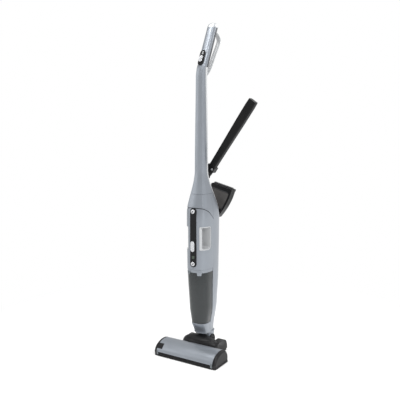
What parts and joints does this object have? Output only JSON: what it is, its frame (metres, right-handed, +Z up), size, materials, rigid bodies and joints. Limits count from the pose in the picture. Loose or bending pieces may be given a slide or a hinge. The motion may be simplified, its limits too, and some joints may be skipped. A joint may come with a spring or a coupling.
{
  "type": "cordless stick vacuum",
  "caption": "Upright cordless stick vacuum with a docked hand unit, clear dust cup, powered roller head, hand loop, and crevice and brush tools swung out behind the stick.",
  "frame": {"origin": "on the floor under the neck, on the axis that the stick swivels about; the sole plate's flat underside is at z = 0", "axes": "+Z up along the stick, -Y towards the front of the floor head, +X to the right along the brush roller when seen from the front"},
  "size_m": [0.3056, 0.243, 1.14],
  "materials": {
    "silver": "satin blue-grey metallic paint on moulded plastic",
    "pale": "light grey satin",
    "black": "fine-textured black",
    "gloss_black": "polished black",
    "dark": "dark grey satin",
    "metal": "bright satin metal",
    "smoke": "tinted clear plastic, polished",
    "bristle": "nylon bristle",
    "copper": "bare metal",
    "green": "board with a matt mask",
    "mesh": "fine perforated steel",
    "rubber": "soft black"
  },
  "bodies": {
    "floor_head": {"head_cover": "silver", "end_cap_left": "black", "end_cap_right": "black", "sole_plate": "black", "front_lip": "rubber", "pivot_housing": "black", "roller_motor": "metal", "drive_belt": "rubber"},
    "brush_roller": {"roller_core": "dark", "bristle_strip_1": "bristle", "bristle_strip_2": "bristle"},
    "motor_shaft": {"motor_pulley": "metal"},
    "rear_wheel_l": {"rear_wheel_left": "dark"},
    "rear_wheel_r": {"rear_wheel_right": "dark"},
    "front_wheel_l": {"front_wheel_left": "dark"},
    "front_wheel_r": {"front_wheel_right": "dark"},
    "roller_key": {"roller_release_button": "black"},
    "neck": {"neck_fork": "silver", "tilt_axle": "black", "pivot_cap": "black"},
    "stick": {"dock_foot": "silver", "rear_housing": "silver", "dock_canopy": "silver", "dock_liner": "pale", "charge_contacts": "copper", "dock_latch": "black", "wiring_loom": "black", "stick_front_cover": "silver", "stick_rear_cover": "pale", "grip_front": "silver", "grip_rear": "black", "grip_cap": "silver", "grip_slider_plate": "gloss_black", "hand_loop": "pale", "tool_holder": "black", "brush_holder": "black"},
    "grip_switch": {"grip_slider": "metal"},
    "crevice_nozzle": {"crevice_tool": "black"},
    "upholstery_nozzle": {"brush_tool": "black", "brush_tool_bristles": "bristle"},
    "hand_unit": {"unit_shell_left": "silver", "unit_shell_right": "silver", "finger_liner": "pale", "control_strip": "gloss_black", "battery_pack": "black", "circuit_board": "green", "motor_housing": "dark", "cup_ring": "silver", "dust_cup": "smoke", "inlet_nose": "pale", "filter_cartridge": "dark", "cyclone_mesh": "mesh"},
    "power_switch": {"power_slider": "metal"},
    "unit_key": {"unit_release_button": "metal"},
    "cup_key": {"cup_release_button": "metal"},
    "fan": {"motor_rotor": "copper", "impeller": "metal"},
    "flap": {"inlet_flap": "rubber"}
  },
  "joints": [
    {"name": "roller_spin", "type": "hinge", "parent": "floor_head", "child": "brush_roller", "pos_m": [0, -0.116, 0.0205], "axis": [1, 0, 0], "continuous": true},
    {"name": "motor_spin", "type": "hinge", "parent": "floor_head", "child": "motor_shaft", "pos_m": [0, -0.078, 0.022], "axis": [1, 0, 0], "continuous": true},
    {"name": "rear_wheel_left_spin", "type": "hinge", "parent": "floor_head", "child": "rear_wheel_l", "pos_m": [-0.056, 0.008, 0.0176], "axis": [1, 0, 0], "continuous": true},
    {"name": "rear_wheel_right_spin", "type": "hinge", "parent": "floor_head", "child": "rear_wheel_r", "pos_m": [0.056, 0.008, 0.0176], "axis": [1, 0, 0], "continuous": true},
    {"name": "front_wheel_left_spin", "type": "hinge", "parent": "floor_head", "child": "front_wheel_l", "pos_m": [-0.096, -0.074, 0.0076], "axis": [1, 0, 0], "continuous": true},
    {"name": "front_wheel_right_spin", "type": "hinge", "parent": "floor_head", "child": "front_wheel_r", "pos_m": [0.096, -0.074, 0.0076], "axis": [1, 0, 0], "continuous": true},
    {"name": "roller_button_press", "type": "slide", "parent": "floor_head", "child": "roller_key", "axis": [0, 0.6691, -0.7431], "range_m": [0, 0.002], "stiffness_N_per_m": 600, "springref_m": -0.001},
    {"name": "neck_tilt", "type": "hinge", "parent": "floor_head", "child": "neck", "pos_m": [0, -0.01, 0.044], "axis": [-1, 0, 0], "range_deg": [0, 70]},
    {"name": "neck_swivel", "type": "hinge", "parent": "neck", "child": "stick", "pos_m": [0, 0, 0.072], "axis": [0, 0, 1], "range_deg": [-50, 50]},
    {"name": "grip_switch_slide", "type": "slide", "parent": "stick", "child": "grip_switch", "axis": [0, 0.4226, 0.9063], "range_m": [0, 0.012]},
    {"name": "crevice_swing", "type": "hinge", "parent": "stick", "child": "crevice_nozzle", "pos_m": [0, 0.012, 0.628], "axis": [0, -1, 0], "range_deg": [0, 35]},
    {"name": "brush_swing", "type": "hinge", "parent": "stick", "child": "upholstery_nozzle", "pos_m": [0, 0.074, 0.484], "axis": [0, -1, 0], "range_deg": [0, 15]},
    {"name": "hand_unit_tilt", "type": "hinge", "parent": "stick", "child": "hand_unit", "pos_m": [0, -0.068, 0.113], "axis": [1, 0, 0], "range_deg": [0, 35]},
    {"name": "power_slide", "type": "slide", "parent": "hand_unit", "child": "power_switch", "axis": [0, 0, 1], "range_m": [0, 0.014]},
    {"name": "unit_release_press", "type": "slide", "parent": "hand_unit", "child": "unit_key", "axis": [0, 1, 0], "range_m": [0, 0.0025], "stiffness_N_per_m": 600, "springref_m": -0.001},
    {"name": "cup_release_press", "type": "slide", "parent": "hand_unit", "child": "cup_key", "axis": [0, 1, 0], "range_m": [0, 0.0025], "stiffness_N_per_m": 600, "springref_m": -0.001},
    {"name": "fan_spin", "type": "hinge", "parent": "hand_unit", "child": "fan", "pos_m": [0, -0.036, 0.32], "axis": [0, 0, 1], "continuous": true},
    {"name": "flap_swing", "type": "hinge", "parent": "hand_unit", "child": "flap", "pos_m": [0, -0.01, 0.1148], "axis": [-1, 0, 0], "range_deg": [0, 60]}
  ],
  "couplings": [
    {"joint": "motor_spin", "follows": "roller_spin", "ratio": 2}
  ]
}
